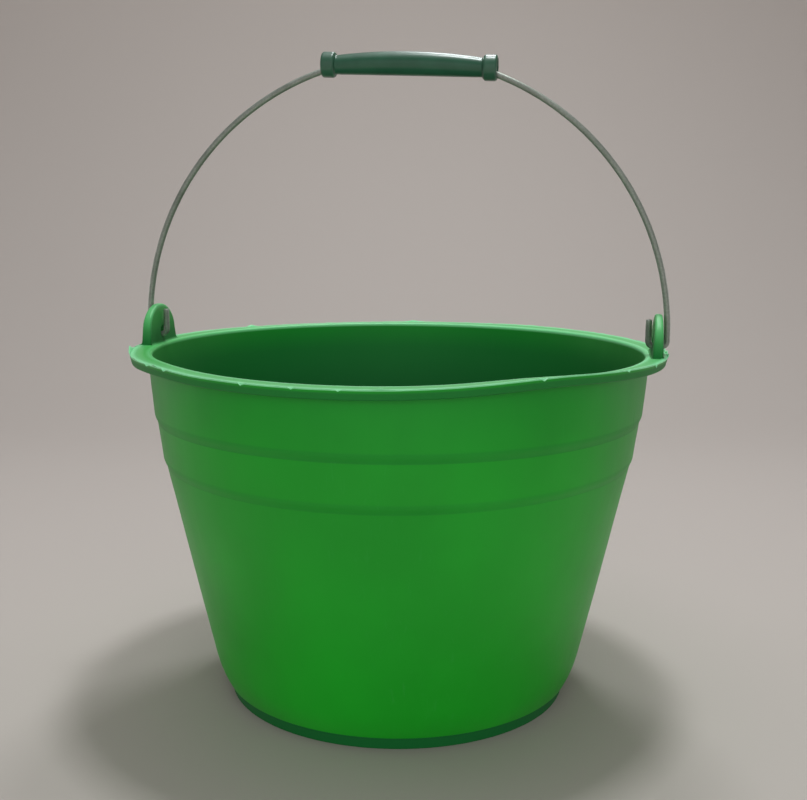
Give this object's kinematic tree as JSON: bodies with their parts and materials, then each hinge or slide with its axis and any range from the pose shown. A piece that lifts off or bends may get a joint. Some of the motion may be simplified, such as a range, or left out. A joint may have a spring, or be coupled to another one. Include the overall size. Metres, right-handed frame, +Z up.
{
  "type": "bucket with wire bail",
  "caption": "Round tapered plastic bucket with banded wall, rim flange, ears, swinging wire bail and loose moulded grip.",
  "frame": {"origin": "on the ground, at the middle of the foot ring", "axes": "+Z up through the open mouth; the ears and the bail's hinge line lie along X; -Y is the front, where the bail swings forward"},
  "size_m": [0.3378, 0.337, 0.4039],
  "materials": {
    "body_plastic": "semi-gloss moulded polypropylene",
    "bail_steel": "galvanised wire",
    "grip_plastic": "gloss moulded plastic"
  },
  "bodies": {
    "bucket": {"bucket_body": "body_plastic"},
    "bail": {"bail_wire": "bail_steel"},
    "grip": {"grip": "grip_plastic"}
  },
  "joints": [
    {"name": "bail_swing", "type": "hinge", "parent": "bucket", "child": "bail", "pos_m": [0, 0, 0.2255], "axis": [1, 0, 0], "range_deg": [-88, 88]},
    {"name": "grip_spin", "type": "hinge", "parent": "bail", "child": "grip", "pos_m": [0.00525, 0, 0.39442], "axis": [0.9995, 0, -0.0314], "continuous": true}
  ]
}
